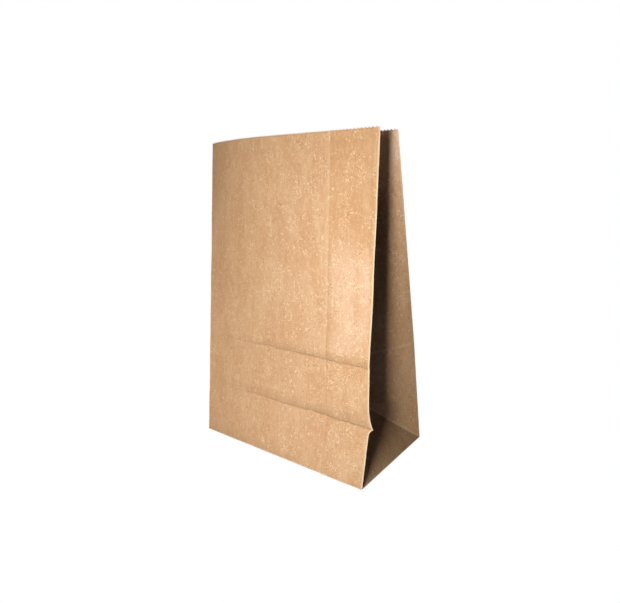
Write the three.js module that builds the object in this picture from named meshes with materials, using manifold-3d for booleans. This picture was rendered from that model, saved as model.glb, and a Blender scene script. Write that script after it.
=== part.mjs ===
// A block-bottom paper lunch bag, folded and glued from one sheet of brown kraft paper.
// Millimetres, +Z up. The origin is the middle of the bottom, at the level that the bag
// rests on. The front panel faces -Y, and the two pleated gussets face +X and -X.
//
// "Paper height" below is a distance measured up the paper from the bottom edge, as on
// the flat sheet. A leaning wall therefore stands a little lower than its paper height.

import * as THREE from 'three';
import { mergeVertices } from 'three/addons/utils/BufferGeometryUtils.js';
import Module from 'manifold-3d';

// The sheet and the flat bag
const width = 180; // front and back panel, side to side
const depth = 100; // bottom, front to back: the full paper width of one gusset
const paper_length = 275.5; // bottom edge to cut mouth, up the paper
const paper_thickness = 0.2;

// Folds across the front: the bottom once lay flat against this panel
const fold_height = 49; // paper height of the fold half a bottom up
const imprint_height = 98; // paper height of the crease that the bottom's edge left
const fold_inset_right = 12; // how far each crease stands in from the bottom's front edge
const fold_inset_left = 6.5;
const imprint_inset_right = 13.3;
const imprint_inset_left = 12.8;
const fold_bow = 1.5; // how far the crease is pressed in between its two ends
const imprint_bow = 1;
const bow_peak = 0.64; // share of the width, from the left, where that is deepest
const ear_reach = 3.5; // the fold's right end sticks out sideways as a small ear
const ear_above = 14; // paper above the fold that the ear bends
const ear_below = 4.5;
const ear_width = 9; // how far the ear reaches in over the front
const ear_curl = 1.6; // 1 for a straight-sided ear, more for a hollow-sided one

// The back panel and the mouth
const back_inset_low = 13.3; // at the imprint's paper height
const back_bow = 5; // the back panel swells outwards at the mouth
const mouth_middle_right = -5.4; // y halfway between front and back, at each side
const mouth_middle_left = -3.4;
const mouth_gap_right = 25.9; // front to back at the mouth, at each side
const mouth_gap_left = 21.9;
const mouth_bulge = 9; // the front panel swells outwards at the mouth
const bulge_peak = 0.36; // share of the width, from the left, where it swells most

// The gussets
const apex_tuck = 25; // how far the tip of each triangle leans in over the bottom
const apex_ease = 30; // paper height over which the centre crease eases to its own line
const gusset_bow = 6; // each half swells this far into the pleat, midway up

// The saw-cut mouth
const tooth_pitch = 3;
const tooth_depth = 1.2;

// The glued seam down the front panel
const seam_x = 49; // the outer sheet's cut edge
const seam_overlap = 25;
const seam_step_run = 0.05; // the cut edge is as good as upright
const seam_fade = 4; // the sheet settles back over this width past the hidden edge

// The folded and glued bottom
const flap_overlap = 12; // front flap over back flap, across the middle
const bottom_layers = 3;

// How finely bent paper is drawn
const column_step = 15;
const gusset_columns = 5; // across each half of a gusset
const ear_columns = 2;
const row_step = 25;
const least_spacing = 0.3; // no two cuts of the mouth come closer than this
const column_clearance = 1; // plain columns keep this far from the seam's and the ear's
const hump_sharpness = 1.6;
const least_climb = 0.2; // a wall rises at least this share of its paper
const longest_mitre = 10; // in paper thicknesses, at a sharp crease
const hair = 1e-6;
const cutter_reach = 5;

const half_width = width / 2;
const half_depth = depth / 2;

// Height gained by a stretch of paper that moves sideways by a given amount
function rise(paper, sideways) {
  return Math.sqrt(Math.max(paper ** 2 - sideways ** 2, (least_climb * paper) ** 2));
}

// A smooth hump of height 1 across the width, flat at both ends, highest at a given share
function hump(share, peak) {
  const left = (hump_sharpness * peak) / (1 - peak);
  const value = (Math.max(share, 0) ** left) * (Math.max(1 - share, 0) ** hump_sharpness);
  return value / ((peak ** left) * ((1 - peak) ** hump_sharpness));
}

// Stations up a wall, each a paper height with its y
function wall_point(stations, paper_height) {
  let z = 0;
  for (let i = 1; i < stations.length; i += 1) {
    const [low, y_low] = stations[i - 1];
    const [high, y_high] = stations[i];
    if (paper_height <= high) {
      const share = (paper_height - low) / (high - low);
      const climb = rise(high - low, y_high - y_low);
      return { y: blend(y_low, y_high, share), z: z + climb * share };
    }
    z += rise(high - low, y_high - y_low);
  }
  const [, y_top] = stations[stations.length - 1];
  return { y: y_top, z: z + paper_height - stations[stations.length - 1][0] };
}

function blend(a, b, share) {
  return a + (b - a) * share;
}

// The front panel at a share of its width, 0 at the left edge and 1 at the right
function front_stations(share) {
  const dent = hump(share, bow_peak);
  const fold_y = -half_depth + blend(fold_inset_left, fold_inset_right, share) + fold_bow * dent;
  const imprint_y = -half_depth + blend(imprint_inset_left, imprint_inset_right, share)
    + imprint_bow * dent;
  const mouth_left = mouth_middle_left - mouth_gap_left / 2;
  const mouth_right = mouth_middle_right - mouth_gap_right / 2;
  const mouth_y = blend(mouth_left, mouth_right, share) - mouth_bulge * hump(share, bulge_peak);
  return [
    [0, -half_depth],
    [fold_height, fold_y],
    [imprint_height, imprint_y],
    [paper_length, mouth_y],
  ];
}

function back_stations(share) {
  const mouth_left = mouth_middle_left + mouth_gap_left / 2;
  const mouth_right = mouth_middle_right + mouth_gap_right / 2;
  const mouth_y = blend(mouth_left, mouth_right, share) + back_bow * hump(share, 1 / 2);
  return [[0, half_depth], [imprint_height, half_depth - back_inset_low], [paper_length, mouth_y]];
}

// The ear where the fold meets the right edge: how far it moves a point sideways
function ear(share, paper_height) {
  const across = Math.max(0, 1 - ((1 - share) * width) / ear_width);
  const above = paper_height - fold_height;
  const level = Math.max(0, 1 - (above > 0 ? above / ear_above : -above / ear_below));
  return ear_reach * across * level ** ear_curl;
}

function front_point(share, paper_height) {
  const { y, z } = wall_point(front_stations(share), paper_height);
  return new THREE.Vector3(-half_width + width * share + ear(share, paper_height), y, z);
}

function back_point(share, paper_height) {
  const { y, z } = wall_point(back_stations(share), paper_height);
  return new THREE.Vector3(-half_width + width * share, y, z);
}

// The tip of the triangle that stands on the bottom's side edge, and the gusset's centre
// crease above it. Each half of the gusset keeps its paper width, so the closer the front
// and back edges come, the deeper the centre crease is folded in.
function gusset_apex(side) {
  return new THREE.Vector3(side * (half_width - apex_tuck), 0, rise(half_depth, apex_tuck));
}

function gusset_crease(side, paper_height) {
  const share = side > 0 ? 1 : 0;
  const low = gusset_apex(side);
  if (paper_height <= half_depth) {
    return low;
  }
  const taut = (height) => {
    const front = wall_point(front_stations(share), height);
    const back = wall_point(back_stations(share), height);
    const x = half_width - rise(half_depth, (back.y - front.y) / 2);
    return new THREE.Vector3(side * x, (front.y + back.y) / 2, 0);
  };
  const slack = low.clone().sub(taut(half_depth));
  const at = (height) => taut(height).addScaledVector(slack, Math.exp((half_depth - height) / apex_ease));
  const top = at(paper_length);
  const point = at(paper_height);
  const climb = rise(paper_length - half_depth, Math.hypot(top.x - low.x, top.y - low.y));
  point.z = low.z + (climb * (paper_height - half_depth)) / (paper_length - half_depth);
  return point;
}

// A point on one half of a gusset, between a panel's edge and the centre crease. Midway up
// the bag the half swells outwards, into the pleat.
function half_point(side, edge, crease, paper_height, from_edge) {
  const share = from_edge / half_depth;
  const along = crease.clone().sub(edge);
  const outward = new THREE.Vector3(
    side * Math.abs(along.y),
    Math.sign(along.y) * Math.abs(along.x),
    0,
  ).normalize();
  const up = (paper_height - half_depth) / (paper_length - half_depth);
  const swell = Math.sin(Math.PI * up) * 4 * share * (1 - share);
  return edge.clone().lerp(crease, share).addScaledVector(outward, gusset_bow * swell);
}

// A row is one closed loop of points round the bag at a paper height. Each point keeps
// its place s along the flat sheet, so that rows with different points can be stitched.
function gusset_row(side, paper_height) {
  const share = side > 0 ? 1 : 0;
  const front = front_point(share, paper_height);
  const back = back_point(share, paper_height);
  if (paper_height === 0) {
    return [[0, front], [depth, back]];
  }
  if (paper_height < half_depth && paper_height !== fold_height) {
    const apex = gusset_apex(side);
    const climb = paper_height / half_depth;
    const front_corner = front_point(share, 0);
    const back_corner = back_point(share, 0);
    return [
      [0, front],
      [paper_height, front_corner.lerp(apex, climb)],
      [depth - paper_height, back_corner.lerp(apex, climb)],
      [depth, back],
    ];
  }
  const crease = gusset_crease(side, paper_height);
  if (paper_height <= half_depth) {
    return [[0, front], [half_depth, crease], [depth, back]];
  }
  const row = [];
  for (let i = 0; i <= 2 * gusset_columns; i += 1) {
    const place = (i * half_depth) / gusset_columns;
    const edge = i <= gusset_columns ? front : back;
    const from_edge = Math.min(place, depth - place);
    row.push([place, half_point(side, edge, crease, paper_height, from_edge)]);
  }
  return row;
}

// Evenly spaced places across a panel
function plain_columns() {
  const columns = [];
  const count = Math.round(width / column_step);
  for (let i = 0; i <= count; i += 1) {
    columns.push((i * width) / count);
  }
  return columns;
}

// Places across the front panel where it has points of its own
function front_columns() {
  const seam = seam_x + half_width;
  const special = [seam - seam_step_run, seam, seam + seam_overlap, seam + seam_overlap + seam_fade];
  for (let i = 1; i <= ear_columns; i += 1) {
    special.push(width - (i * ear_width) / ear_columns);
  }
  const inside = special.filter((column) => column > 0 && column < width);
  const kept = plain_columns().filter((column) => (
    column === 0 || column === width
      || inside.every((other) => Math.abs(other - column) > column_clearance)
  ));
  return [...kept, ...inside].sort((a, b) => a - b);
}

// Extra thickness of the outer face where the sheet lies double at the seam
function seam_raise(column) {
  const seam = seam_x + half_width;
  const doubled = column >= seam - hair && column <= seam + seam_overlap + hair;
  return doubled ? paper_thickness : 0;
}

// Distance down from the straight cut at a place measured across the flat bag
function tooth(flat) {
  const share = (flat / tooth_pitch) % 1;
  return tooth_depth * (1 - Math.abs(2 * share - 1));
}

// Places along the mouth: every tip and notch, and the columns of the panel
function with_teeth(columns, start, end) {
  const half_pitch = tooth_pitch / 2;
  const cuts = [];
  for (let i = Math.ceil(start / half_pitch); i * half_pitch <= end + hair; i += 1) {
    cuts.push(i * half_pitch);
  }
  const kept = cuts.filter((cut) => columns.every((column) => Math.abs(column - cut) > least_spacing));
  return [...kept, ...columns].sort((a, b) => a - b);
}

function plain_row(paper_height) {
  const row = [];
  for (const column of front_columns()) {
    const point = front_point(column / width, paper_height);
    row.push({ s: column, point, raise: seam_raise(column) });
  }
  for (const [place, point] of gusset_row(1, paper_height).slice(1)) {
    row.push({ s: width + place, point, raise: 0 });
  }
  for (const column of plain_columns().slice(1)) {
    const point = back_point(1 - column / width, paper_height);
    row.push({ s: width + depth + column, point, raise: 0 });
  }
  const left = gusset_row(-1, paper_height);
  for (const [place, point] of left.slice(1, -1).reverse()) {
    row.push({ s: 2 * (width + depth) - place, point, raise: 0 });
  }
  return row;
}

// The cut mouth: the flat bag was sawn through all its layers at once, so a tooth in the
// front panel has its copy in the gussets and in the back panel
function mouth_row() {
  const row = [];
  const cut = (flat) => paper_length - tooth(flat);
  for (const column of with_teeth(front_columns(), 0, width)) {
    const point = front_point(column / width, cut(column));
    row.push({ s: column, point, raise: seam_raise(column) });
  }
  const gusset = (side) => {
    const share = side > 0 ? 1 : 0;
    const crease = gusset_crease(side, paper_length);
    const places = with_teeth([0, half_depth], 0, half_depth);
    const half = (edge) => places.map((place) => {
      const flat = side > 0 ? width - place : place;
      const top = half_point(side, edge, crease, paper_length, place);
      top.z -= tooth(flat);
      return [place, top];
    });
    const front_half = half(front_point(share, paper_length));
    const back_half = half(back_point(share, paper_length));
    return [
      ...front_half,
      ...back_half.slice(0, -1).reverse().map(([place, point]) => [depth - place, point]),
    ];
  };
  for (const [place, point] of gusset(1).slice(1, -1)) {
    row.push({ s: width + place, point, raise: 0 });
  }
  for (const column of with_teeth(plain_columns(), 0, width).reverse()) {
    const point = back_point(column / width, cut(column));
    row.push({ s: 2 * width + depth - column, point, raise: 0 });
  }
  for (const [place, point] of gusset(-1).slice(1, -1).reverse()) {
    row.push({ s: 2 * (width + depth) - place, point, raise: 0 });
  }
  return row;
}

// The same loop on the inner face, one thickness in from the outer one
function inner_points(row) {
  return row.map((entry, i) => {
    const { point } = entry;
    const before = row[(i + row.length - 1) % row.length].point;
    const after = row[(i + 1) % row.length].point;
    const into = new THREE.Vector2(point.x - before.x, point.y - before.y).normalize();
    const out = new THREE.Vector2(after.x - point.x, after.y - point.y).normalize();
    const normal_in = new THREE.Vector2(-into.y, into.x);
    const normal_out = new THREE.Vector2(-out.y, out.x);
    const middle = normal_in.clone().add(normal_out).normalize();
    const reach = paper_thickness / Math.max(middle.dot(normal_out), 1 / longest_mitre);
    return new THREE.Vector3(point.x + middle.x * reach, point.y + middle.y * reach, point.z);
  });
}

function outer_points(row) {
  return row.map((entry) => entry.point.clone().add(new THREE.Vector3(0, -entry.raise, 0)));
}

// Triangles between two rows, walked round together by their places on the flat sheet
function stitch(lower, upper, add) {
  const round = 2 * (width + depth);
  const place = (row, i) => row[i % row.length].s + (i >= row.length ? round : 0);
  let low = 0;
  let high = 0;
  while (low < lower.length || high < upper.length) {
    const next_low = low < lower.length ? place(lower, low + 1) : Infinity;
    const next_high = high < upper.length ? place(upper, high + 1) : Infinity;
    const low_corner = ['lower', low % lower.length];
    const high_corner = ['upper', high % upper.length];
    if (next_low <= next_high + hair) {
      add(low_corner, ['lower', (low + 1) % lower.length], high_corner);
      low += 1;
    } else {
      add(low_corner, ['upper', (high + 1) % upper.length], high_corner);
      high += 1;
    }
  }
}

function row_heights() {
  const ear_foot = fold_height - ear_below;
  const ear_rows = [ear_foot, fold_height, fold_height + ear_above / 2, fold_height + ear_above];
  const heights = [0, ear_foot / 2, ...ear_rows, imprint_height];
  const top = paper_length - 2 * tooth_depth;
  const count = Math.max(1, Math.round((top - imprint_height) / row_step));
  for (let i = 1; i <= count; i += 1) {
    heights.push(imprint_height + ((top - imprint_height) * i) / count);
  }
  return heights;
}

// The whole bag: outer walls and inner walls joined round the mouth, closed at the bottom
function bag_shell() {
  const triangles = [];
  const rows = [...row_heights().map(plain_row), mouth_row()];
  const floor = bottom_layers * paper_thickness;
  const outer = rows.map(outer_points);
  const inner = rows.map(inner_points);
  inner[0].forEach((point) => {
    point.z = floor;
  });
  for (let i = 1; i < rows.length; i += 1) {
    stitch(rows[i - 1], rows[i], (a, b, c) => {
      const pick = (skin, [which, index]) => skin[which === 'lower' ? i - 1 : i][index];
      triangles.push([pick(outer, a), pick(outer, b), pick(outer, c)]);
      triangles.push([pick(inner, a), pick(inner, c), pick(inner, b)]);
    });
  }
  const top = rows.length - 1;
  for (let i = 0; i < rows[top].length; i += 1) {
    const next = (i + 1) % rows[top].length;
    triangles.push([outer[top][i], outer[top][next], inner[top][next]]);
    triangles.push([outer[top][i], inner[top][next], inner[top][i]]);
  }
  const fan = (loop, z, up) => {
    const middle = new THREE.Vector3(0, 0, z);
    loop.forEach((point, i) => {
      const next = loop[(i + 1) % loop.length];
      triangles.push(up ? [middle, point, next] : [middle, next, point]);
    });
  };
  fan(outer[0], 0, false);
  fan(inner[0], floor, true);
  return geometry_of(triangles);
}

function geometry_of(triangles) {
  const positions = [];
  triangles.forEach((corners) => corners.forEach(({ x, y, z }) => positions.push(x, y, z)));
  const geometry = new THREE.BufferGeometry();
  geometry.setAttribute('position', new THREE.Float32BufferAttribute(positions, 3));
  return geometry;
}

// A flat plate that cuts away the bottom where a layer of paper is missing
function recess(outline, layers) {
  const shape = new THREE.Shape(outline.map(([x, y]) => new THREE.Vector2(x, y)));
  const height = cutter_reach + layers * paper_thickness;
  const plate = new THREE.ExtrudeGeometry(shape, { depth: height, bevelEnabled: false });
  plate.translate(0, 0, -cutter_reach);
  return plate;
}

// The front flap is outermost, the back flap lies one layer up, and the folded ends of
// the gussets show between them as triangles two layers up. All slanted edges run at
// 45 degrees from the corners.
function bottom_recesses() {
  const flap_reach = half_depth + flap_overlap / 2;
  const tip = flap_reach - half_depth;
  const outside = cutter_reach;
  const back = [
    [half_width - flap_reach, tip],
    [half_width + outside, tip],
    [half_width + outside, half_depth + outside],
    [-half_width - outside, half_depth + outside],
    [-half_width - outside, tip],
    [-half_width + flap_reach, tip],
  ];
  const side = (sign) => {
    const outline = [
      [sign * (half_width + outside), -half_depth - outside],
      [sign * (half_width + outside), half_depth + outside],
      [sign * (half_width - half_depth + tip), tip],
      [sign * (half_width - flap_reach), tip],
    ];
    return sign > 0 ? outline : outline.reverse();
  };
  return [recess(back, 1), recess(side(1), 2), recess(side(-1), 2)];
}

const wasm = await Module();
wasm.setup();

function solid_of(geometry) {
  geometry.deleteAttribute('normal');
  geometry.deleteAttribute('uv');
  const merged = mergeVertices(geometry, 1e-4);
  const mesh = new wasm.Mesh({
    numProp: 3,
    vertProperties: new Float32Array(merged.attributes.position.array),
    triVerts: new Uint32Array(merged.index.array),
  });
  return new wasm.Manifold(mesh);
}

function folded_bag() {
  let bag = solid_of(bag_shell());
  for (const plate of bottom_recesses()) {
    bag = bag.subtract(solid_of(plate));
  }
  const { vertProperties, triVerts } = bag.getMesh();
  const geometry = new THREE.BufferGeometry();
  geometry.setAttribute('position', new THREE.BufferAttribute(vertProperties, 3));
  geometry.setIndex(new THREE.BufferAttribute(triVerts, 1));
  geometry.computeVertexNormals();
  return geometry;
}

const kraft = new THREE.MeshStandardMaterial({ color: 0xc99e74, roughness: 0.85, metalness: 0 });
const paper_bag = new THREE.Mesh(folded_bag(), kraft);
paper_bag.name = 'paper_bag';

const group = new THREE.Group();
group.add(paper_bag);
export default group;
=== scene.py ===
# %% [markdown]
# # A brown paper lunch bag
# The real bag is one sheet of kraft paper: rolled into a flat tube, glued along one seam,
# pleated at both sides, folded and glued at the bottom, and sawn off at the mouth. Paper
# bends and folds but never stretches, and that is what makes a paper model look right.
# So this lesson makes the flat sheet first, marks its folds, and then folds it.
#
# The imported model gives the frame: where the bag stands and how large it may be.

import math

import bmesh
import bpy
from mathutils import Matrix, Vector, noise


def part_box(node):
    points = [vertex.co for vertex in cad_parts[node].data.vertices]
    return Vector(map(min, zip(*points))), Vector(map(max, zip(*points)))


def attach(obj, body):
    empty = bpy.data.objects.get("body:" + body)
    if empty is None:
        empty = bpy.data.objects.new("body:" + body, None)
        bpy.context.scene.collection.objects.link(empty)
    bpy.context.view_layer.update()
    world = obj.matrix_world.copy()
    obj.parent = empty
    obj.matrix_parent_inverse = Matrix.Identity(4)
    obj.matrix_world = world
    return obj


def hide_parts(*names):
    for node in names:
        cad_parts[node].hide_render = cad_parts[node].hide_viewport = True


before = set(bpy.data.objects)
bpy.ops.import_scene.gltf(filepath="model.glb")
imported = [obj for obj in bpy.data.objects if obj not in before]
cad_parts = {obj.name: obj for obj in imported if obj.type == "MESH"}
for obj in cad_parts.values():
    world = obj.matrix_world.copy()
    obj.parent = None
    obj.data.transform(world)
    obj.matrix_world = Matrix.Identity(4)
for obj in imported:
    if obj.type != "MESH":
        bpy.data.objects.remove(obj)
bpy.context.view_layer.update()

# %% [markdown]
# ## Sizes
# All sizes are millimetres on the real bag, and one factor turns them to metres. A "height"
# is measured up the paper from the bottom edge. A wall that leans stands a little lower
# than its paper is long, because the paper keeps its length.
#
# The bottom is folded flat against the front before the bag is first opened. That leaves
# two lines across the front: the fold itself, half a bottom up, and the imprint of the
# bottom's edge, a whole bottom up.

# %% Sizes of the sheet
MM = 0.001
WIDTH = 180.0
DEPTH = 100.0
PAPER_LENGTH = 275.5  # to the tips of the mouth's teeth
PAPER_THICKNESS = 0.2
HALF_WIDTH = WIDTH / 2
HALF_DEPTH = DEPTH / 2

FOLD_HEIGHT = 49.0
IMPRINT_HEIGHT = 98.0

bag_width, bag_depth, bag_height = (
    (high - low) / MM for low, high in zip(*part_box("paper_bag"))
)
print(f"packed bag: {bag_width:.1f} x {bag_depth:.1f} x {bag_height:.1f} mm")

# %% [markdown]
# ## The camera
# The photograph looks at the bag's front panel from its right, a little from above. The
# camera stands where a camera has to stand for the bag's corners to fall where they do.
# It is tilted about two degrees, as a hand-held camera is.

# %% Camera
IMAGE_WIDTH_PX = 620
FOCAL_PX = 507.4
SENSOR_MM = 36.0
CAMERA_PLACE = Vector((281.4, -344.9, 241.0)) * MM
CAMERA_DOWN = math.radians(13.96)
CAMERA_TURN = math.radians(38.64)
CAMERA_TILT = math.radians(-2.335)

looks_along = Vector((
    -math.sin(CAMERA_TURN) * math.cos(CAMERA_DOWN),
    math.cos(CAMERA_TURN) * math.cos(CAMERA_DOWN),
    -math.sin(CAMERA_DOWN),
))
level_right = Vector((math.cos(CAMERA_TURN), math.sin(CAMERA_TURN), 0.0))
level_up = level_right.cross(looks_along)
camera_right = level_right * math.cos(CAMERA_TILT) + level_up * math.sin(CAMERA_TILT)
camera_up = level_up * math.cos(CAMERA_TILT) - level_right * math.sin(CAMERA_TILT)

camera_data = bpy.data.cameras.new("camera")
camera_data.sensor_width = SENSOR_MM
camera_data.lens = FOCAL_PX * SENSOR_MM / IMAGE_WIDTH_PX
camera = bpy.data.objects.new("camera", camera_data)
bpy.context.scene.collection.objects.link(camera)
turn = Matrix((camera_right, camera_up, -looks_along)).transposed().to_4x4()
camera.matrix_world = Matrix.Translation(CAMERA_PLACE) @ turn
bpy.context.scene.camera = camera
print(f"camera: {camera_data.lens:.2f} mm lens")

# %% [markdown]
# ## The sheet, as a box
# A tube with a bottom is a box without its lid. A box whose sides are as long and wide as
# the flat paper is the sheet itself, standing up before any fold has been made: every
# point of it has its place on the paper. Folding it later only moves points.
#
# An operator works on whatever is selected. A small helper therefore selects faces by
# their place or direction. Here it finds the lid, which is deleted.

# %% A box of paper
def edit_faces(wanted):
    """Selects the faces for which wanted(centre, normal) holds, and nothing else."""
    bpy.ops.mesh.select_mode(type="FACE")
    bpy.ops.mesh.select_all(action="DESELECT")
    mesh = bmesh.from_edit_mesh(bpy.context.object.data)
    for face in mesh.faces:
        face.select_set(wanted(face.calc_center_median(), face.normal))
    mesh.select_flush_mode()
    bmesh.update_edit_mesh(bpy.context.object.data)


bpy.ops.object.select_all(action="DESELECT")
bpy.ops.mesh.primitive_cube_add(size=1.0, location=(0, 0, PAPER_LENGTH / 2 * MM))
bag = bpy.context.object
bag.name = "folded_paper_bag"
bag.dimensions = (WIDTH * MM, DEPTH * MM, PAPER_LENGTH * MM)
bpy.ops.object.transform_apply(location=True, rotation=True, scale=True)

bpy.ops.object.mode_set(mode="EDIT")
edit_faces(lambda centre, normal: normal.z > 0.5)
bpy.ops.mesh.delete(type="FACE")
print("box of paper:", [round(side / MM) for side in bag.dimensions], "mm")

# %% [markdown]
# ## A grid to bend
# Paper can only bend where the mesh has edges. Between the folds, an even grid is fine
# enough to bend softly. Subdividing the box's upright edges gives its rows, and
# subdividing the edges that run across gives its columns. These are as wide as the teeth
# that a saw leaves at the mouth, so that the teeth can be made from them later.

# %% Rows and columns
TOOTH_PITCH = 3.0
GRID = TOOTH_PITCH


def edit_edges(wanted):
    """Selects the edges for which wanted(first end, second end) holds, and nothing else."""
    bpy.ops.mesh.select_mode(type="EDGE")
    bpy.ops.mesh.select_all(action="DESELECT")
    mesh = bmesh.from_edit_mesh(bpy.context.object.data)
    for edge in mesh.edges:
        edge.select_set(wanted(edge.verts[0].co, edge.verts[1].co))
    bmesh.update_edit_mesh(bpy.context.object.data)


def is_up_and_down(a, b):
    return abs(a.z - b.z) > GRID * MM


def is_across(a, b):
    return abs(a.x - b.x) > GRID * MM


edit_edges(is_up_and_down)
bpy.ops.mesh.subdivide(number_cuts=round(PAPER_LENGTH / GRID) - 1)
edit_edges(is_across)
bpy.ops.mesh.subdivide(number_cuts=round(WIDTH / GRID) - 1)
print("faces with rows and columns:", len(bmesh.from_edit_mesh(bag.data).faces))

# %% [markdown]
# The gussets take their columns from both edges, because the saw went through all layers
# of the flat bag at once. Subdividing would spread them evenly, so they are cut one by one
# instead: the bisect operator cuts the selected faces along a plane.

# %% Columns of the gussets
def cut(place, normal):
    """Cuts the selected faces along a plane, given in millimetres."""
    bpy.ops.mesh.bisect(plane_co=Vector(place) * MM, plane_no=normal)


def is_side(centre, normal):
    return abs(normal.x) > 0.5


def is_bottom(centre, normal):
    return normal.z < -0.5


for column in range(1, int(HALF_DEPTH / GRID) + 1):
    for side in (-1, 1):
        edit_faces(lambda centre, normal: is_side(centre, normal) or is_bottom(centre, normal))
        cut((0, side * (HALF_DEPTH - column * GRID), 0), (0, 1, 0))
print("faces in the grid:", len(bmesh.from_edit_mesh(bag.data).faces))

# %% [markdown]
# ## Marking the folds
# A folding machine scores the sheet before it folds it. Here each fold is a cut through
# the faces, so that the mesh can bend exactly there: two folds across the front, the
# centre crease of each gusset, and the slanted folds that let the gusset's foot lie down.
# A fold in paper isn't perfectly sharp, so it gets a close row of cuts on either side.

# %% Folds
NEAR_FOLD = (0.6, 1.6)  # cuts on both sides of a fold


def everywhere(centre, normal):
    return True


def near(place):
    """A place and the places of the cuts on both sides of it."""
    return [place] + [place + side * step for step in NEAR_FOLD for side in (-1, 1)]


for height in near(FOLD_HEIGHT) + near(IMPRINT_HEIGHT):
    edit_faces(everywhere)
    cut((0, 0, height), (0, 0, 1))
for inset in NEAR_FOLD:
    for side in (-1, 1):
        edit_faces(everywhere)
        cut((side * (HALF_WIDTH - inset), 0, 0), (1, 0, 0))
        edit_faces(everywhere)
        cut((0, side * (HALF_DEPTH - inset), 0), (0, 1, 0))
    edit_faces(everywhere)
    cut((0, 0, inset), (0, 0, 1))
for place in near(0.0):
    edit_faces(is_side)
    cut((0, place, 0), (0, 1, 0))

# The slanted folds start at the bottom's corners and meet at the centre crease
for side in (-1, 1):
    for inset in near(0.0):
        edit_faces(lambda centre, normal: is_side(centre, normal) and centre.z < HALF_DEPTH * MM)
        cut((0, side * HALF_DEPTH, inset), (0, side, 1))
print("faces with the folds marked:", len(bmesh.from_edit_mesh(bag.data).faces))

# %% [markdown]
# The front has two more lines, both upright. The seam is where the sheet overlaps itself:
# the outer sheet's cut edge shows, and the hidden edge shows through a little. A narrow
# strip along the right edge is turned back, which needs a few columns close together.

# %% Seam and turned strip
SEAM_X = 49.0
SEAM_OVERLAP = 25.0
SEAM_FADE = 4.0  # past the hidden edge the sheet settles back over this width
STEP_RUN = 0.1  # a sheet's edge is drawn as a slope this wide
STRIP_COLUMNS = 5  # each a millimetre wide


def is_front(centre, normal):
    return normal.y < -0.5


for column in range(1, STRIP_COLUMNS + 1):
    edit_faces(is_front)
    cut((HALF_WIDTH - column - 1, 0, 0), (1, 0, 0))
for place in (SEAM_X, SEAM_X + STEP_RUN, SEAM_X + SEAM_OVERLAP, SEAM_X + SEAM_OVERLAP + SEAM_FADE):
    edit_faces(is_front)
    cut((place, 0, 0), (1, 0, 0))
print("faces with the seam:", len(bmesh.from_edit_mesh(bag.data).faces))

# %% [markdown]
# ## The bottom flaps
# Under the bag, two gusset ends are turned in first, then the back flap, and the front
# flap last. The flaps' ends are cut at 45 degrees. Each edge is one sheet high, so two
# cuts a hair apart are made along it. When the sheet is folded, everything past the
# second is moved up by the thickness of the sheets that are missing there.

# %% Flaps
FLAP_OVERLAP = 12.0  # of the front flap over the back flap
FLAP_TIP = FLAP_OVERLAP / 2

for run in (0, STEP_RUN):
    edit_faces(is_bottom)
    cut((0, FLAP_TIP + run, 0), (0, 1, 0))
    for side in (-1, 1):
        for corner, slant in ((-HALF_DEPTH, 1), (HALF_DEPTH, -1)):
            edit_faces(is_bottom)
            cut((side * (HALF_WIDTH + run), corner, 0), (side, slant, 0))


def sheets_missing(x, y):
    """How many sheets' thickness the bottom lies above its outermost flap at a place."""
    beyond_end = (abs(x) - HALF_WIDTH) + (HALF_DEPTH - abs(y))
    if y > FLAP_TIP + STEP_RUN / 2:
        return 2 if beyond_end > STEP_RUN / 2 else 1
    reach = (abs(x) - HALF_WIDTH) + (y + HALF_DEPTH)
    return 2 if reach > STEP_RUN / 2 else 0


print("sheets missing at the middle and the back:", sheets_missing(0, 0), sheets_missing(0, 30))

# %% [markdown]
# ## The sawn mouth
# A saw cuts the tube into bags and leaves a row of teeth. Each column of the grid is one
# tooth: one more point in its middle, and every other point is moved down. A row of cuts
# just below the teeth lets painted shade darken their notches and not the paper under them.

# %% Teeth
TOOTH_DEPTH = 1.2
NOTCH_SHADE_REACH = 1.0  # how far below a notch its painted shade reaches
HAIR = 0.01  # places closer than this are the same place


def at_mouth(a, b):
    return min(a.z, b.z) > (PAPER_LENGTH - HAIR) * MM


def tooth(x, y):
    """How deep the saw has cut at a place of the mouth, when the bag still lay flat."""
    flat = x + HALF_WIDTH if abs(y) > HALF_DEPTH - HAIR else HALF_DEPTH - abs(y)
    swing = abs(2 * ((flat / TOOTH_PITCH) % 1.0) - 1)
    return TOOTH_DEPTH * (1 - swing)


edit_edges(at_mouth)
bpy.ops.mesh.subdivide(number_cuts=1)
edit_faces(everywhere)
cut((0, 0, PAPER_LENGTH - TOOTH_DEPTH - NOTCH_SHADE_REACH), (0, 0, 1))
bpy.ops.object.mode_set(mode="OBJECT")

rim = [vertex for vertex in bag.data.vertices if at_mouth(vertex.co, vertex.co)]
for vertex in rim:
    vertex.co.z -= tooth(vertex.co.x / MM, vertex.co.y / MM) * MM
print("points along the teeth:", len(rim))

# %% [markdown]
# ## Folding
# Folding is a rule that gives each point of the flat sheet its place in the folded bag.
# It could be done by hand, one fold at a time with the rotate tool, but then the paper
# would stretch wherever two folds pull at it. The rule used here keeps the panels' lengths
# to within two percent and the gussets' to within five, except right beside the ear.
#
# Where a wall leans, its paper stands lower: how high follows from Pythagoras. A wall is
# given by stations, each a height up the paper with the place it leans to.

# %% Walls that lean
LEAST_CLIMB = 0.2  # a wall rises at least this share of its paper
HUMP_SHARPNESS = 1.6


def rise(paper, sideways):
    return math.sqrt(max(paper * paper - sideways * sideways, (LEAST_CLIMB * paper) ** 2))


def blend(a, b, share):
    return a + (b - a) * share


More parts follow.
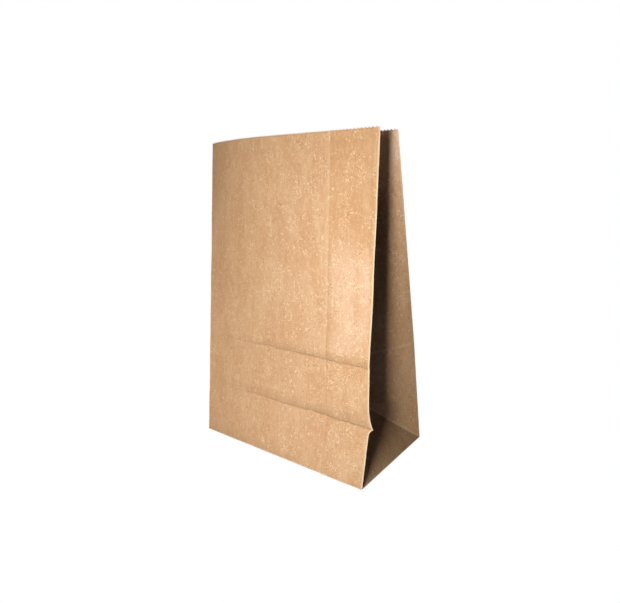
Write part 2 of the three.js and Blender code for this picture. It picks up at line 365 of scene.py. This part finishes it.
def hump(share, peak):
    """0 at both ends of a wall, 1 at its peak."""
    left = HUMP_SHARPNESS * peak / (1 - peak)
    share = min(max(share, 0.0), 1.0)
    top = peak ** left * (1 - peak) ** HUMP_SHARPNESS
    return share ** left * (1 - share) ** HUMP_SHARPNESS / top


def wall_point(stations, height):
    """Walks up a wall's stations and returns the y and z of a height on its paper."""
    z = 0.0
    for (low, y_low), (high, y_high) in zip(stations, stations[1:]):
        climb = rise(high - low, y_high - y_low)
        if height <= high or high == stations[-1][0]:
            share = (height - low) / (high - low)
            return y_low + (y_high - y_low) * share, z + climb * share
        z += climb


print("100 mm of paper that leans 30 mm stands", round(rise(100, 30), 1), "mm high")

# %% [markdown]
# The front and the back lean in towards the mouth. The bag has been opened by hand, so
# nothing is quite even: the two creases of the front are pressed in between their ends,
# the left end leans in less than the right one, and both panels swell at the mouth.
#
# A share says how far along a wall a point lies, from 0 at the left to 1 at the right.

# %% Front and back
FOLD_INSET = (6.5, 12.0)  # how far in the fold lies, at its left end and its right end
IMPRINT_INSET = (12.8, 13.3)
FOLD_BOW = 1.5
IMPRINT_BOW = 1.0
BOW_PEAK = 0.64
BACK_INSET_LOW = 13.3
BACK_BOW = 5.0
BACK_PEAK = 0.5
MOUTH_MIDDLE = (-3.4, -5.4)
MOUTH_GAP = (21.9, 25.9)
MOUTH_BULGE = 9.0
BULGE_PEAK = 0.36


def mouth_line(share, side):
    """Where the mouth's edge would be without its swell: side is -1 in front, 1 behind."""
    left, right = (middle + side * gap / 2 for middle, gap in zip(MOUTH_MIDDLE, MOUTH_GAP))
    return blend(left, right, share)


def front_stations(share):
    dent = hump(share, BOW_PEAK)
    return [
        (0, -HALF_DEPTH),
        (FOLD_HEIGHT, -HALF_DEPTH + blend(*FOLD_INSET, share) + FOLD_BOW * dent),
        (IMPRINT_HEIGHT, -HALF_DEPTH + blend(*IMPRINT_INSET, share) + IMPRINT_BOW * dent),
        (PAPER_LENGTH, mouth_line(share, -1) - MOUTH_BULGE * hump(share, BULGE_PEAK)),
    ]


def back_stations(share):
    return [
        (0, HALF_DEPTH),
        (IMPRINT_HEIGHT, HALF_DEPTH - BACK_INSET_LOW),
        (PAPER_LENGTH, mouth_line(share, 1) + BACK_BOW * hump(share, BACK_PEAK)),
    ]


print("mouth, front to back, at the middle:",
      round(back_stations(0.5)[-1][1] - front_stations(0.5)[-1][1], 1), "mm")

# %% [markdown]
# Finer shapes stand out from the front. The paper rolls out over each crease, softly over
# some width and crisply right at the line, and each roll grows from the left and shrinks
# again near the right edge. The whole panel undulates a little, as opened paper does, the
# seam lies one sheet proud, and the strip at the right edge is turned back.

# %% Relief of the front
ROLLS = (  # crease, how far out, how far up it reaches, where it grows, share lost at the right
    (FOLD_HEIGHT, 1.6, 14.0, (-90, 10), 0.5),
    (FOLD_HEIGHT, 0.35, 1.6, (-75, 20), 0.0),
    (IMPRINT_HEIGHT, 1.1, 8.0, (-70, 30), 0.6),
    (IMPRINT_HEIGHT, 0.35, 1.6, (-75, 20), 0.0),
)
ROLLS_SHRINK = (50, 90)
WAVE_SIZE = 32.0
WAVE_DEPTH = 0.6
EDGE_STRIP = 5.6  # width of the turned strip at the mouth, from nothing at the bottom
EDGE_TURN = 0.08  # how far it is turned, as a slope


def smooth_step(low, high, value):
    share = min(max((value - low) / (high - low), 0.0), 1.0)
    return share * share * (3 - 2 * share)


def roll(above, reach):
    """A soft roll of height 1 that starts at a crease and dies out above it."""
    if above <= 0:
        return 0.0
    return above / reach * math.exp(1 - above / reach)


def seam_step(x):
    """1 where the sheet lies double, 0 where it is single."""
    if not SEAM_X <= x < SEAM_X + SEAM_OVERLAP + SEAM_FADE:
        return 0.0
    hidden_edge = SEAM_X + SEAM_OVERLAP
    settled = smooth_step(hidden_edge, hidden_edge + SEAM_FADE, x)
    return smooth_step(SEAM_X, SEAM_X + STEP_RUN, x) * (1 - settled)


def relief(x, height):
    """How far the front stands out of its plain folded shape, in millimetres."""
    out = PAPER_THICKNESS * seam_step(x)
    for crease, size, reach, grows, lost in ROLLS:
        strength = smooth_step(*grows, x) * (1 - lost * smooth_step(*ROLLS_SHRINK, x))
        out += size * strength * roll(height - crease, reach)
    wave_place = Vector((x / WAVE_SIZE, height / WAVE_SIZE, 0.0))
    out += WAVE_DEPTH * noise.noise(wave_place) * smooth_step(0, WAVE_SIZE / 2, height)
    return out - EDGE_TURN * max(0.0, x - (HALF_WIDTH - EDGE_STRIP * height / PAPER_LENGTH))


print("relief over the fold, at x = 20:", round(relief(20, FOLD_HEIGHT + 10), 2), "mm")

# %% [markdown]
# At the fold's right end the paper has nowhere to go, so it sticks out sideways as a small
# ear. With that, the two panels are complete.

# %% The ear, and points of the panels
EAR_REACH = 3.5
EAR_ABOVE = 14.0  # the ear dies out this far above the fold, and closer below it
EAR_BELOW = 4.5
EAR_WIDTH = 9.0
EAR_CURL = 1.6  # 1 for a straight-sided ear, more for a hollow-sided one


def ear(share, height):
    across = max(0.0, 1 - (1 - share) * WIDTH / EAR_WIDTH)
    above = height - FOLD_HEIGHT
    level = max(0.0, 1 - (above / EAR_ABOVE if above > 0 else -above / EAR_BELOW))
    return EAR_REACH * level ** EAR_CURL * across


def front_point(share, height):
    y, z = wall_point(front_stations(share), height)
    x = -HALF_WIDTH + WIDTH * share
    return Vector((x + ear(share, height), y - relief(x, height), z))


def back_point(share, height):
    y, z = wall_point(back_stations(share), height)
    return Vector((-HALF_WIDTH + WIDTH * share, y, z))


print("tip of the ear:", [round(value, 1) for value in front_point(1, FOLD_HEIGHT)])

# %% [markdown]
# ## The gussets
# Pulled flat, each gusset half keeps its width: the closer front and back come, the deeper
# the gusset's centre crease is pushed in. At its foot, the centre crease ends where the
# two slanted folds meet. The tip of the triangle under them leans in over the bottom, and
# above it the crease eases back to its own line.

# %% Centre crease
APEX_TUCK = 25.0  # how far the triangle's tip leans in over the bottom
APEX_EASE = 30.0  # height over which the crease eases from there to its own line


def gusset_apex(side):
    return Vector((side * (HALF_WIDTH - APEX_TUCK), 0, rise(HALF_DEPTH, APEX_TUCK)))


def taut_crease(side, height):
    """Where a gusset's centre crease lies when both of its halves are pulled flat."""
    share = max(side, 0)
    front_y = wall_point(front_stations(share), height)[0]
    back_y = wall_point(back_stations(share), height)[0]
    x = HALF_WIDTH - rise(HALF_DEPTH, (back_y - front_y) / 2)
    return Vector((side * x, (front_y + back_y) / 2, 0))


def eased_crease(side, height):
    slack = gusset_apex(side) - taut_crease(side, HALF_DEPTH)
    slack.z = 0
    return taut_crease(side, height) + slack * math.exp((HALF_DEPTH - height) / APEX_EASE)


def gusset_crease(side, height):
    low = gusset_apex(side)
    top = eased_crease(side, PAPER_LENGTH)
    point = eased_crease(side, max(height, HALF_DEPTH))
    climb = rise(PAPER_LENGTH - HALF_DEPTH, math.hypot(top.x - low.x, top.y - low.y))
    point.z = low.z + climb * (height - HALF_DEPTH) / (PAPER_LENGTH - HALF_DEPTH)
    return point


print("crease at the mouth:", [round(value, 1) for value in gusset_crease(1, PAPER_LENGTH)])

# %% [markdown]
# Each half reaches from a panel's edge to the centre crease, and swells a little between
# them, as opened paper does. At the foot it stays flat: the paper between an edge and a
# slanted fold, and the triangle between the two slanted folds.

# %% Gusset halves and foot
GUSSET_BOW = 6.0


def gusset_swell(side, edge, crease, height, share_in):
    """How a half swells: most midway up and midway between its edge and the crease."""
    along = crease - edge
    outward = Vector((abs(along.y), math.copysign(abs(along.x), along.y), 0)).normalized()
    outward.x *= side
    midway_up = math.sin(math.pi * (height - HALF_DEPTH) / (PAPER_LENGTH - HALF_DEPTH))
    return outward * GUSSET_BOW * midway_up * 4 * share_in * (1 - share_in)


def gusset_point(side, place, height):
    """A point of a gusset: place is its distance from the front edge on the flat sheet."""
    share = max(side, 0)
    in_front = place <= HALF_DEPTH
    edge = front_point(share, height) if in_front else back_point(share, height)
    from_edge = place if in_front else DEPTH - place
    if height >= HALF_DEPTH:
        crease = gusset_crease(side, height)
        share_in = from_edge / HALF_DEPTH
        swell = gusset_swell(side, edge, crease, height, share_in)
        return edge.lerp(crease, share_in) + swell
    apex = gusset_apex(side)
    front_slant = front_point(share, 0).lerp(apex, height / HALF_DEPTH)
    back_slant = back_point(share, 0).lerp(apex, height / HALF_DEPTH)
    if from_edge < height:
        return edge.lerp(front_slant if in_front else back_slant, from_edge / height)
    return front_slant.lerp(back_slant, (place - height) / (DEPTH - 2 * height))


print("middle of a half:", [round(value, 1) for value in gusset_point(1, HALF_DEPTH / 2, DEPTH)])

# %% [markdown]
# Every point of the box now gets its folded place. The flat places are kept in a list,
# because the material will want to know them.

# %% Fold the sheet
def folded(x, y, z):
    """The place in the folded bag of a point of the box of paper, all in millimetres."""
    on_panel = abs(y) > HALF_DEPTH - HAIR
    if z < HAIR and abs(x) < HALF_WIDTH - HAIR and not on_panel:
        return Vector((x, y, 0))
    if on_panel:
        share = (x + HALF_WIDTH) / WIDTH
        return front_point(share, z) if y < 0 else back_point(share, z)
    return gusset_point(math.copysign(1, x), y + HALF_DEPTH, z)


flat_places = [vertex.co / MM for vertex in bag.data.vertices]
for vertex, flat in zip(bag.data.vertices, flat_places):
    place = folded(*flat)
    if flat.z < HAIR:
        place.z = sheets_missing(flat.x, flat.y) * PAPER_THICKNESS
    vertex.co = place * MM
top = max(vertex.co.z for vertex in bag.data.vertices)
print("the folded bag stands", round(top / MM, 1), "mm high")

# %% [markdown]
# ## What the material needs to know
# The pattern of the paper belongs to the sheet, so each point keeps its place on the box
# of paper as an attribute: the grain then runs on round every fold. Three more attributes
# will hold marks that follow the sheet's edges and folds.

# %% Places on the paper
def remember(name, kind, slot, rule):
    """Keeps rule(flat place) for every point of the sheet, as an attribute."""
    attribute = bag.data.attributes.new(name, kind, "POINT")
    for entry, flat in zip(attribute.data, flat_places):
        setattr(entry, slot, rule(flat))
    print(name, "is kept for", len(flat_places), "points")


remember("paper_place", "FLOAT_VECTOR", "vector", lambda flat: flat * MM)

# %% [markdown]
# Folding breaks the fibres along a ridge, and hands rub them, which makes it paler. The right
# front edge is palest, as rubbing plus a painted highlight; the other edges, the foot and the
# gussets' folds less.
# At the mouth, painted shade darkens the notches between the teeth.

# %% Pale folds and painted highlight, painted shade in the notches
WORN_REACH = 1.3  # how far from a fold's ridge its paler band reaches
OTHER_EDGE_WEAR = 0.3  # of the wear of the right front edge
FOOT_WEAR = 0.3
IMPRINT_WEAR = 0.25
SLANT_WEAR = 0.45


def near_zero(distance, reach):
    return max(0.0, 1 - abs(distance) / reach)


def wear_and_highlight(flat):
    """Rubbed paleness, with a painted highlight on the right front edge: 1 on its ridge, less on
    other folds, 0 away from them.
    """
    from_edge = math.hypot(HALF_WIDTH - abs(flat.x), HALF_DEPTH - abs(flat.y))
    worn_and_lit_edge = flat.x >= 0 and flat.y <= 0
    worn_and_lit = near_zero(from_edge, WORN_REACH) * (1 if worn_and_lit_edge else OTHER_EDGE_WEAR)
    worn_and_lit = max(worn_and_lit, FOOT_WEAR * near_zero(flat.z, WORN_REACH))
    if abs(flat.x) < HALF_WIDTH - HAIR:
        return worn_and_lit
    worn_and_lit = max(worn_and_lit, IMPRINT_WEAR * near_zero(flat.z - IMPRINT_HEIGHT, WORN_REACH))
    if flat.z < HALF_DEPTH:
        from_slant = HALF_DEPTH - abs(flat.y) - flat.z
        worn_and_lit = max(worn_and_lit, SLANT_WEAR * near_zero(from_slant, WORN_REACH))
    return worn_and_lit


def notch_shade(flat):
    """1 in the notches between the mouth's teeth, where shade is painted darkest."""
    return near_zero(PAPER_LENGTH - TOOTH_DEPTH - flat.z, NOTCH_SHADE_REACH)


remember("worn_fold_and_highlight", "FLOAT", "value", wear_and_highlight)
remember("notch_shade", "FLOAT", "value", notch_shade)

# %% [markdown]
# The seam gets a thin painted shade right of the outer sheet's cut edge, with a painted
# highlight left of it. Below the imprint it is pressed flat and nearly gone. The line along
# which the strip at the right edge is turned gets a painted shade, in the upper half only.

# %% Upright lines of the front
SEAM_SHADE = (0.6, 1.2)  # its middle, right of the cut edge, and its reach to either side
SEAM_GLINT = (-1.4, 1.4)
LOW_SEAM = 0.35  # how much of the seam is left below the imprint
LOW_SEAM_FADE = 10.0
TURN_REACH = 1.1  # of the line along which the strip is turned, to either side


def seam_shade_and_highlight(flat):
    """1 in an upright line's painted shade, -1 on the painted highlight, on the front only."""
    if flat.y > HAIR - HALF_DEPTH:
        return 0.0
    shade, glint = (
        near_zero(flat.x - SEAM_X - middle, reach) for middle, reach in (SEAM_SHADE, SEAM_GLINT)
    )
    faded = smooth_step(IMPRINT_HEIGHT - LOW_SEAM_FADE, IMPRINT_HEIGHT + LOW_SEAM_FADE, flat.z)
    # painted shade along the line where the strip at the right edge is turned
    turned = near_zero(flat.x - HALF_WIDTH + EDGE_STRIP * flat.z / PAPER_LENGTH, TURN_REACH)
    turned *= smooth_step(PAPER_LENGTH / 2, PAPER_LENGTH, flat.z)
    return (shade - glint) * blend(LOW_SEAM, 1, faded) + turned


remember("seam_shade_and_highlight", "FLOAT", "value", seam_shade_and_highlight)

# %% [markdown]
# ## Thickness
# Paper is thin, but its cut edge shows at the mouth, so the sheet gets a real thickness.
# Its outer face is the one just modelled, and the wall grows inwards. The attributes are
# carried over to the inner face. Shading is smooth, apart from the folds.

# %% Thickness
SHARP_FOLD = 40  # degrees

bpy.ops.object.select_all(action="DESELECT")
bag.select_set(True)
bpy.context.view_layer.objects.active = bag
bpy.ops.object.mode_set(mode="EDIT")
bpy.ops.mesh.select_all(action="SELECT")
bpy.ops.mesh.normals_make_consistent(inside=False)
bpy.ops.object.mode_set(mode="OBJECT")
wall = bag.modifiers.new("paper thickness", "SOLIDIFY")
wall.thickness = PAPER_THICKNESS * MM
wall.offset = -1
bpy.ops.object.modifier_apply(modifier=wall.name)
bpy.ops.object.shade_smooth_by_angle(angle=math.radians(SHARP_FOLD))
print("triangles:", sum(len(face.vertices) - 2 for face in bag.data.polygons))

# %% [markdown]
# ## Kraft paper
# Kraft paper is unbleached wood pulp, pressed smooth on one side by a hot drum. Its fibres
# differ in shade, so a plain brown is only the start. Over it lie paler and darker fibres and
# ridges rubbed pale. Painted shade darkens the creases, the seam and the saw's notches, and a
# painted highlight lightens the right front edge and a line beside the seam.

# %% Colours of the paper
def linear(hex_colour):
    """An sRGB hex colour as the linear colour that Blender's sockets take."""
    channels = [int(hex_colour[i:i + 2], 16) / 255 for i in (1, 3, 5)]
    return (*[c / 12.92 if c <= 0.04045 else ((c + 0.055) / 1.055) ** 2.4 for c in channels], 1.0)


PAPER_BROWN = linear("#c4976c")
FIBRE_PALE = linear("#e6c8a2")
# Dark fibres, and also the painted shade at the seam and along the turned strip
FIBRE_DARK_AND_SEAM_SHADE = linear("#956c46")
# Painted shade of the front's creases
CREASE_PAINTED_SHADE = linear("#7d5834")
# Rubbed pale ridges, and the painted highlight on the right front edge and beside the seam
PALE_WEAR_AND_HIGHLIGHT = linear("#f6e2c4")
# Painted shade in the notches between the teeth
NOTCH_PAINTED_SHADE = linear("#4a3320")
print("plain brown, linear:", [round(channel, 3) for channel in PAPER_BROWN[:3]])

# %% [markdown]
# A material is a net of nodes, and one small helper adds a node with its inputs. The
# pattern starts from the kept place on the flat sheet, so that it belongs to the paper.
# The place's three coordinates are also used one by one: across the front, deep into the
# bag, and up the paper.

# %% Nodes for the paper
kraft = bpy.data.materials.new("brown kraft paper")
kraft.use_nodes = True
surface = kraft.node_tree.nodes["Principled BSDF"]


def node(kind, inputs, **settings):
    """Adds a node to the kraft paper. An input is a value or another node's output."""
    made = kraft.node_tree.nodes.new(kind)
    for name, value in settings.items():
        setattr(made, name, value)
    for socket, value in inputs.items():
        if isinstance(value, bpy.types.NodeSocket):
            kraft.node_tree.links.new(value, made.inputs[socket])
        else:
            made.inputs[socket].default_value = value
    return made


paper_place = node("ShaderNodeAttribute", {}, attribute_name="paper_place").outputs["Vector"]
across, deep, up = node("ShaderNodeSeparateXYZ", {0: paper_place}).outputs
print("coordinates:", across.name, deep.name, up.name)

# %% [markdown]
# Clumps of fibres curl through the sheet as pale and dark threads, thick in some patches
# and sparse in others, over a faint upright grain. Noise textures draw all of this. The
# clouds and the streaks are stretched up the paper, which gives the grain.

# %% Noises of the paper
# Real fibres are finer than the picture can show, so clumps of them are drawn
CLOUD_SIZE = (13.0, 13.0, 45.0)
STREAK_SIZE = (1.6, 1.6, 7.0)
MOTTLE_SIZE = 2.6
FIBRE_CURL = 4.0
PATCH_SIZE = 9.0
SPECK_SIZE = 1.7


def per_metre(size_mm):
    return 1 / (size_mm * MM)


stretched = {}
for name, sizes in (("clouds", CLOUD_SIZE), ("streaks", STREAK_SIZE)):
    stretched[name] = node("ShaderNodeMapping", {
        "Vector": paper_place, "Scale": [per_metre(size) for size in sizes],
    }).outputs["Vector"]
noises = {}
for name, place, scale, detail, distortion in (
    ("clouds", stretched["clouds"], 1.0, 3.0, 0.0),
    ("mottle", paper_place, per_metre(MOTTLE_SIZE), 2.0, 0.3),
    ("fibres", paper_place, per_metre(FIBRE_CURL), 0.5, 1.5),
    ("patches", paper_place, per_metre(PATCH_SIZE), 1.0, 0.0),
    ("specks", paper_place, per_metre(SPECK_SIZE), 1.0, 0.0),
    ("streaks", stretched["streaks"], 1.0, 2.0, 0.0),
):
    noises[name] = node("ShaderNodeTexNoise", {
        "Vector": place, "Scale": scale, "Detail": detail, "Distortion": distortion,
    }).outputs["Fac"]
print("noises:", ", ".join(noises))

# %% [markdown]
# A thread that curls is a contour line of a smooth noise: the places where the noise has
# one value. Two values give pale threads, and dark ones that run beside them. They show
# inside patches only, and less towards the left, where the sheet is pressed smoother.

# %% Curled fibres
PATCH_EDGE = (0.40, 0.56)
SMOOTH_LEFT = (-70, 10)  # left of the first place the sheet is smoothest
SMOOTH_LEFT_FIBRES = 0.4

in_patches = node("ShaderNodeMapRange", {
    "Value": noises["patches"], "From Min": PATCH_EDGE[0], "From Max": PATCH_EDGE[1],
}).outputs[0]
roughened = node("ShaderNodeMapRange", {
    "Value": across, "From Min": SMOOTH_LEFT[0] * MM, "From Max": SMOOTH_LEFT[1] * MM,
    "To Min": SMOOTH_LEFT_FIBRES,
}).outputs[0]
amount = node("ShaderNodeMath", {0: in_patches, 1: roughened}, operation="MULTIPLY").outputs[0]
fibres = {}
for name, contour, width in (("pale", 0.50, 0.04), ("dark", 0.42, 0.03)):
    off = node("ShaderNodeMath", {0: noises["fibres"], 1: contour}, operation="SUBTRACT")
    distance = node("ShaderNodeMath", {0: off.outputs[0]}, operation="ABSOLUTE")
    thread = node("ShaderNodeMapRange", {
        "Value": distance.outputs[0], "From Min": width, "From Max": 0.0,
    })
    shown = node("ShaderNodeMath", {0: thread.outputs[0], 1: amount}, operation="MULTIPLY")
    fibres[name] = shown.outputs[0]
print("curled fibres:", ", ".join(fibres))

# %% [markdown]
# The painted shade of the two creases that cross the front wavers a little. This comes
# from the clouds, which shift a point's height before its distance from a crease is taken.
# The creases' painted shade is meant for the front only, and a mask keeps it there.

# %% Wavering height
CREASE_WAVER = 6.0
FRONT_SKIN = 0.1  # what lies this close to the sheet's front face belongs to the front

on_front = node("ShaderNodeMapRange", {
    "Value": deep, "From Min": (FRONT_SKIN - HALF_DEPTH) * MM, "From Max": -HALF_DEPTH * MM,
}).outputs[0]
centred = node("ShaderNodeMath", {0: noises["clouds"], 1: 0.5}, operation="SUBTRACT").outputs[0]
waver = node("ShaderNodeMath", {0: centred, 1: CREASE_WAVER * MM}, operation="MULTIPLY").outputs[0]
wavering_up = node("ShaderNodeMath", {0: up, 1: waver}, operation="ADD").outputs[0]
print("creases waver within", CREASE_WAVER / 2, "mm up and down")

# %% [markdown]
# Each crease gets painted shade: a dark line in its crevice, and a soft painted shade on
# the paper that bulges over it. Both are strongest at the right and die out leftwards.
# Where line and shade meet, the darker one of them shows.

# %% Creases of the front
LINE_REACH = 1.1
# painted shade in a crease's crevice, and over the bulge above it
LINE_SHADE_DARKNESS = 0.5
SHADE_DARKNESS = 0.3
SHADE_START = -0.5  # the shade covers the line's middle too

creases = 0.0
for height, line_grows, shade_grows, shade_reach in (
    (FOLD_HEIGHT, (-20, 60), (-80, 10), 12.0),
    (IMPRINT_HEIGHT, (-80, -10), (-60, 20), 8.0),
):
    above = node("ShaderNodeMath", {0: wavering_up, 1: height * MM}, operation="SUBTRACT").outputs[0]
    distance = node("ShaderNodeMath", {0: above}, operation="ABSOLUTE").outputs[0]
    over_it = node("ShaderNodeMath", {0: above, 1: SHADE_START * MM}, operation="GREATER_THAN")
    for reach, grows, darkness, where in (
        (LINE_REACH, line_grows, LINE_SHADE_DARKNESS, 1.0),
        (shade_reach, shade_grows, SHADE_DARKNESS, over_it.outputs[0]),
    ):
        mark = node("ShaderNodeMapRange", {
            "Value": distance, "From Min": reach * MM, "From Max": 0.0, "To Max": darkness,
        }).outputs[0]
        grown = node("ShaderNodeMapRange", {
            "Value": across, "From Min": grows[0] * MM, "From Max": grows[1] * MM,
        }).outputs[0]
        for share in (grown, where, on_front):
            mark = node("ShaderNodeMath", {0: mark, 1: share}, operation="MULTIPLY").outputs[0]
        creases = node("ShaderNodeMath", {0: mark, 1: creases}, operation="MAXIMUM").outputs[0]
print("nodes with the creases:", len(kraft.node_tree.nodes))

# %% [markdown]
# The colour is built up in layers, as a painter would: the plain brown first, then each
# shade over it. A layer has a mask, the mask's values where the shade is absent and where
# it is full, and how strong it is at its fullest.

# %% Layers of colour
marks = {}
for name in ("worn_fold_and_highlight", "notch_shade", "seam_shade_and_highlight"):
    marks[name] = node("ShaderNodeAttribute", {}, attribute_name=name).outputs["Fac"]

colour = PAPER_BROWN
for over, mask, absent_at, full_at, strength in (
    (FIBRE_PALE, noises["clouds"], 0.40, 0.75, 0.25),
    (FIBRE_DARK_AND_SEAM_SHADE, noises["streaks"], 0.50, 0.30, 0.15),
    (FIBRE_PALE, noises["streaks"], 0.55, 0.75, 0.2),
    (FIBRE_DARK_AND_SEAM_SHADE, noises["mottle"], 0.45, 0.25, 0.15),
    (FIBRE_PALE, noises["mottle"], 0.55, 0.75, 0.15),
    (FIBRE_DARK_AND_SEAM_SHADE, fibres["dark"], 0.0, 1.0, 0.55),
    (FIBRE_PALE, fibres["pale"], 0.0, 1.0, 0.8),
    (FIBRE_DARK_AND_SEAM_SHADE, noises["specks"], 0.30, 0.22, 0.6),
    (FIBRE_PALE, noises["specks"], 0.68, 0.76, 0.8),
    # painted shade of the front's creases
    (CREASE_PAINTED_SHADE, creases, 0.0, 1.0, 1.0),
    # painted shade at the seam and along the turned strip, and a painted highlight beside the seam
    (FIBRE_DARK_AND_SEAM_SHADE, marks["seam_shade_and_highlight"], 0.0, 1.0, 0.25),
    (PALE_WEAR_AND_HIGHLIGHT, marks["seam_shade_and_highlight"], 0.0, -1.0, 0.1),
    # rubbed pale folds, with a painted highlight on the right front edge
    (PALE_WEAR_AND_HIGHLIGHT, marks["worn_fold_and_highlight"], 0.0, 1.0, 0.85),
    # painted shade in the notches between the teeth
    (NOTCH_PAINTED_SHADE, marks["notch_shade"], 0.5, 1.0, 0.8),
):
    amount = node("ShaderNodeMapRange", {
        "Value": mask, "From Min": absent_at, "From Max": full_at, "To Max": strength,
    })
    mixed = node("ShaderNodeMix", {0: amount.outputs[0], 6: colour, 7: over}, data_type="RGBA")
    colour = mixed.outputs[2]
kraft.node_tree.links.new(colour, surface.inputs["Base Color"])
print("nodes with the colours:", len(kraft.node_tree.nodes))

# %% [markdown]
# The drum's side is smooth enough for a wide, faint highlight. The doubled paper right of
# the seam was pressed harder by the glue roller, so it is glossier there. The grain is
# only felt as a very shallow bump. Loose fibres at the surface give a trace of sheen.

# %% Surface of the paper
ROUGHNESS = 0.5
PRESSED_ROUGHNESS = 0.2
PRESSED_EDGE = 0.2  # the change at the seam takes this much on either side of it
GRAIN_DEPTH = 0.05
GRAIN_STRENGTH = 0.5

right_of_seam = node("ShaderNodeMapRange", {
    "Value": across,
    "From Min": (SEAM_X - PRESSED_EDGE) * MM, "From Max": (SEAM_X + PRESSED_EDGE) * MM,
}).outputs[0]
pressed = node("ShaderNodeMath", {0: right_of_seam, 1: on_front}, operation="MULTIPLY").outputs[0]
roughness = node("ShaderNodeMapRange", {
    "Value": pressed, "To Min": ROUGHNESS, "To Max": PRESSED_ROUGHNESS,
})
grain = node("ShaderNodeMath", {0: noises["streaks"], 1: noises["mottle"]}, operation="ADD")
bump = node("ShaderNodeBump", {
    "Height": grain.outputs[0], "Strength": GRAIN_STRENGTH, "Distance": GRAIN_DEPTH * MM,
})
kraft.node_tree.links.new(roughness.outputs[0], surface.inputs["Roughness"])
kraft.node_tree.links.new(bump.outputs[0], surface.inputs["Normal"])
surface.inputs["IOR"].default_value = 1.5
surface.inputs["Specular IOR Level"].default_value = 0.5
surface.inputs["Sheen Weight"].default_value = 0.1
surface.inputs["Sheen Roughness"].default_value = 0.4
bag.data.materials.clear()
bag.data.materials.append(kraft)
print("nodes in the kraft paper:", len(kraft.node_tree.nodes))

# %% [markdown]
# ## Floor
# The floor and the room are plain white, and glow by themselves so that they are evenly
# white in the picture. They don't light the bag. What a real floor would send back up
# comes from two matt cards that the camera doesn't see: a grey one all around, and a pale
# one in front of the bag, which lifts the foot of the front panel.

# %% Floor, room and cards
FLOOR_METRES = 8.0

bpy.ops.object.select_all(action="DESELECT")
bpy.ops.mesh.primitive_plane_add(size=FLOOR_METRES)
floor = bpy.context.object
floor.name = "floor"
white = bpy.data.materials.new("plain white floor")
white.use_nodes = True
floor_paint = white.node_tree.nodes["Principled BSDF"]
floor_paint.inputs["Base Color"].default_value = linear("#000000")
floor_paint.inputs["Specular IOR Level"].default_value = 0.0
floor_paint.inputs["Emission Color"].default_value = linear("#ffffff")
floor_paint.inputs["Emission Strength"].default_value = 1.0
floor.data.materials.append(white)
floor.visible_diffuse = False
floor.visible_glossy = False
floor.visible_shadow = False

for name, shade, size, place in (
    ("grey_card", "#868686", 1600.0, (0, 0, -0.2)),
    ("pale_card", "#f2f2f2", 200.0, (-20, -160, -0.1)),
):
    bpy.ops.object.select_all(action="DESELECT")
    bpy.ops.mesh.primitive_plane_add(size=size * MM, location=Vector(place) * MM)
    card = bpy.context.object
    card.name = name
    card_paint = bpy.data.materials.new(name.replace("_", " "))
    card_paint.use_nodes = True
    matt = card_paint.node_tree.nodes["Principled BSDF"]
    matt.inputs["Base Color"].default_value = linear(shade)
    matt.inputs["Specular IOR Level"].default_value = 0.0
    card.data.materials.append(card_paint)
    card.visible_camera = False

room = bpy.data.worlds.new("white room")
bpy.context.scene.world = room
room.use_nodes = True
room.node_tree.nodes["Background"].inputs["Color"].default_value = linear("#ffffff")
room.node_tree.nodes["Background"].inputs["Strength"].default_value = 1.0
room.cycles_visibility.diffuse = False
room.cycles_visibility.glossy = False
bpy.context.scene.view_settings.view_transform = "Standard"
print("stage:", floor.name, "and two cards")

# %% [markdown]
# ## Light
# The front gets darker towards the left, and its right edge throws a soft-edged shadow
# into the gusset. So a tall, narrow softbox stands near, to the right of the front, and a
# second one far behind it evens out the light. A softbox overhead lights what faces up.
# One at the left stands where the glossy strip beside the seam mirrors it to the camera,
# which gives the pale patch there. The last one lights the back.

# %% Softboxes
BAG_MIDDLE = (0, 0, 140)


def softbox(name, place, aim, size, watts):
    """A soft lamp, size wide and high, at a place and pointed at another, in millimetres."""
    data = bpy.data.lights.new(name, "AREA")
    data.shape = "RECTANGLE"
    data.size, data.size_y = (side * MM for side in size)
    data.energy = watts
    lamp = bpy.data.objects.new(name, data)
    lamp.location = Vector(place) * MM
    lamp.rotation_euler = (Vector(place) - Vector(aim)).to_track_quat("Z", "Y").to_euler()
    bpy.context.scene.collection.objects.link(lamp)


softbox("near softbox", place=(121, -207, 205), aim=(35, 0, 115), size=(47, 240), watts=0.25)
softbox("far softbox", place=(170, -483, 155), aim=(0, 0, 130), size=(107, 107), watts=1.68)
softbox("overhead softbox", place=(0, -277, 901), aim=BAG_MIDDLE, size=(250, 250), watts=1.05)
softbox("left softbox", place=(-160, -406, 122), aim=(75, -30, 140), size=(75, 145), watts=0.175)
softbox("back softbox", place=(-500, 500, 400), aim=BAG_MIDDLE, size=(500, 500), watts=3.0)
print("softboxes:", [light.name for light in bpy.data.lights])

# %% [markdown]
# ## Hand over
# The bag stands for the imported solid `paper_bag`, and rides on the only body there is.

# %% Hand over
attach(bag, "root")
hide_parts("paper_bag")
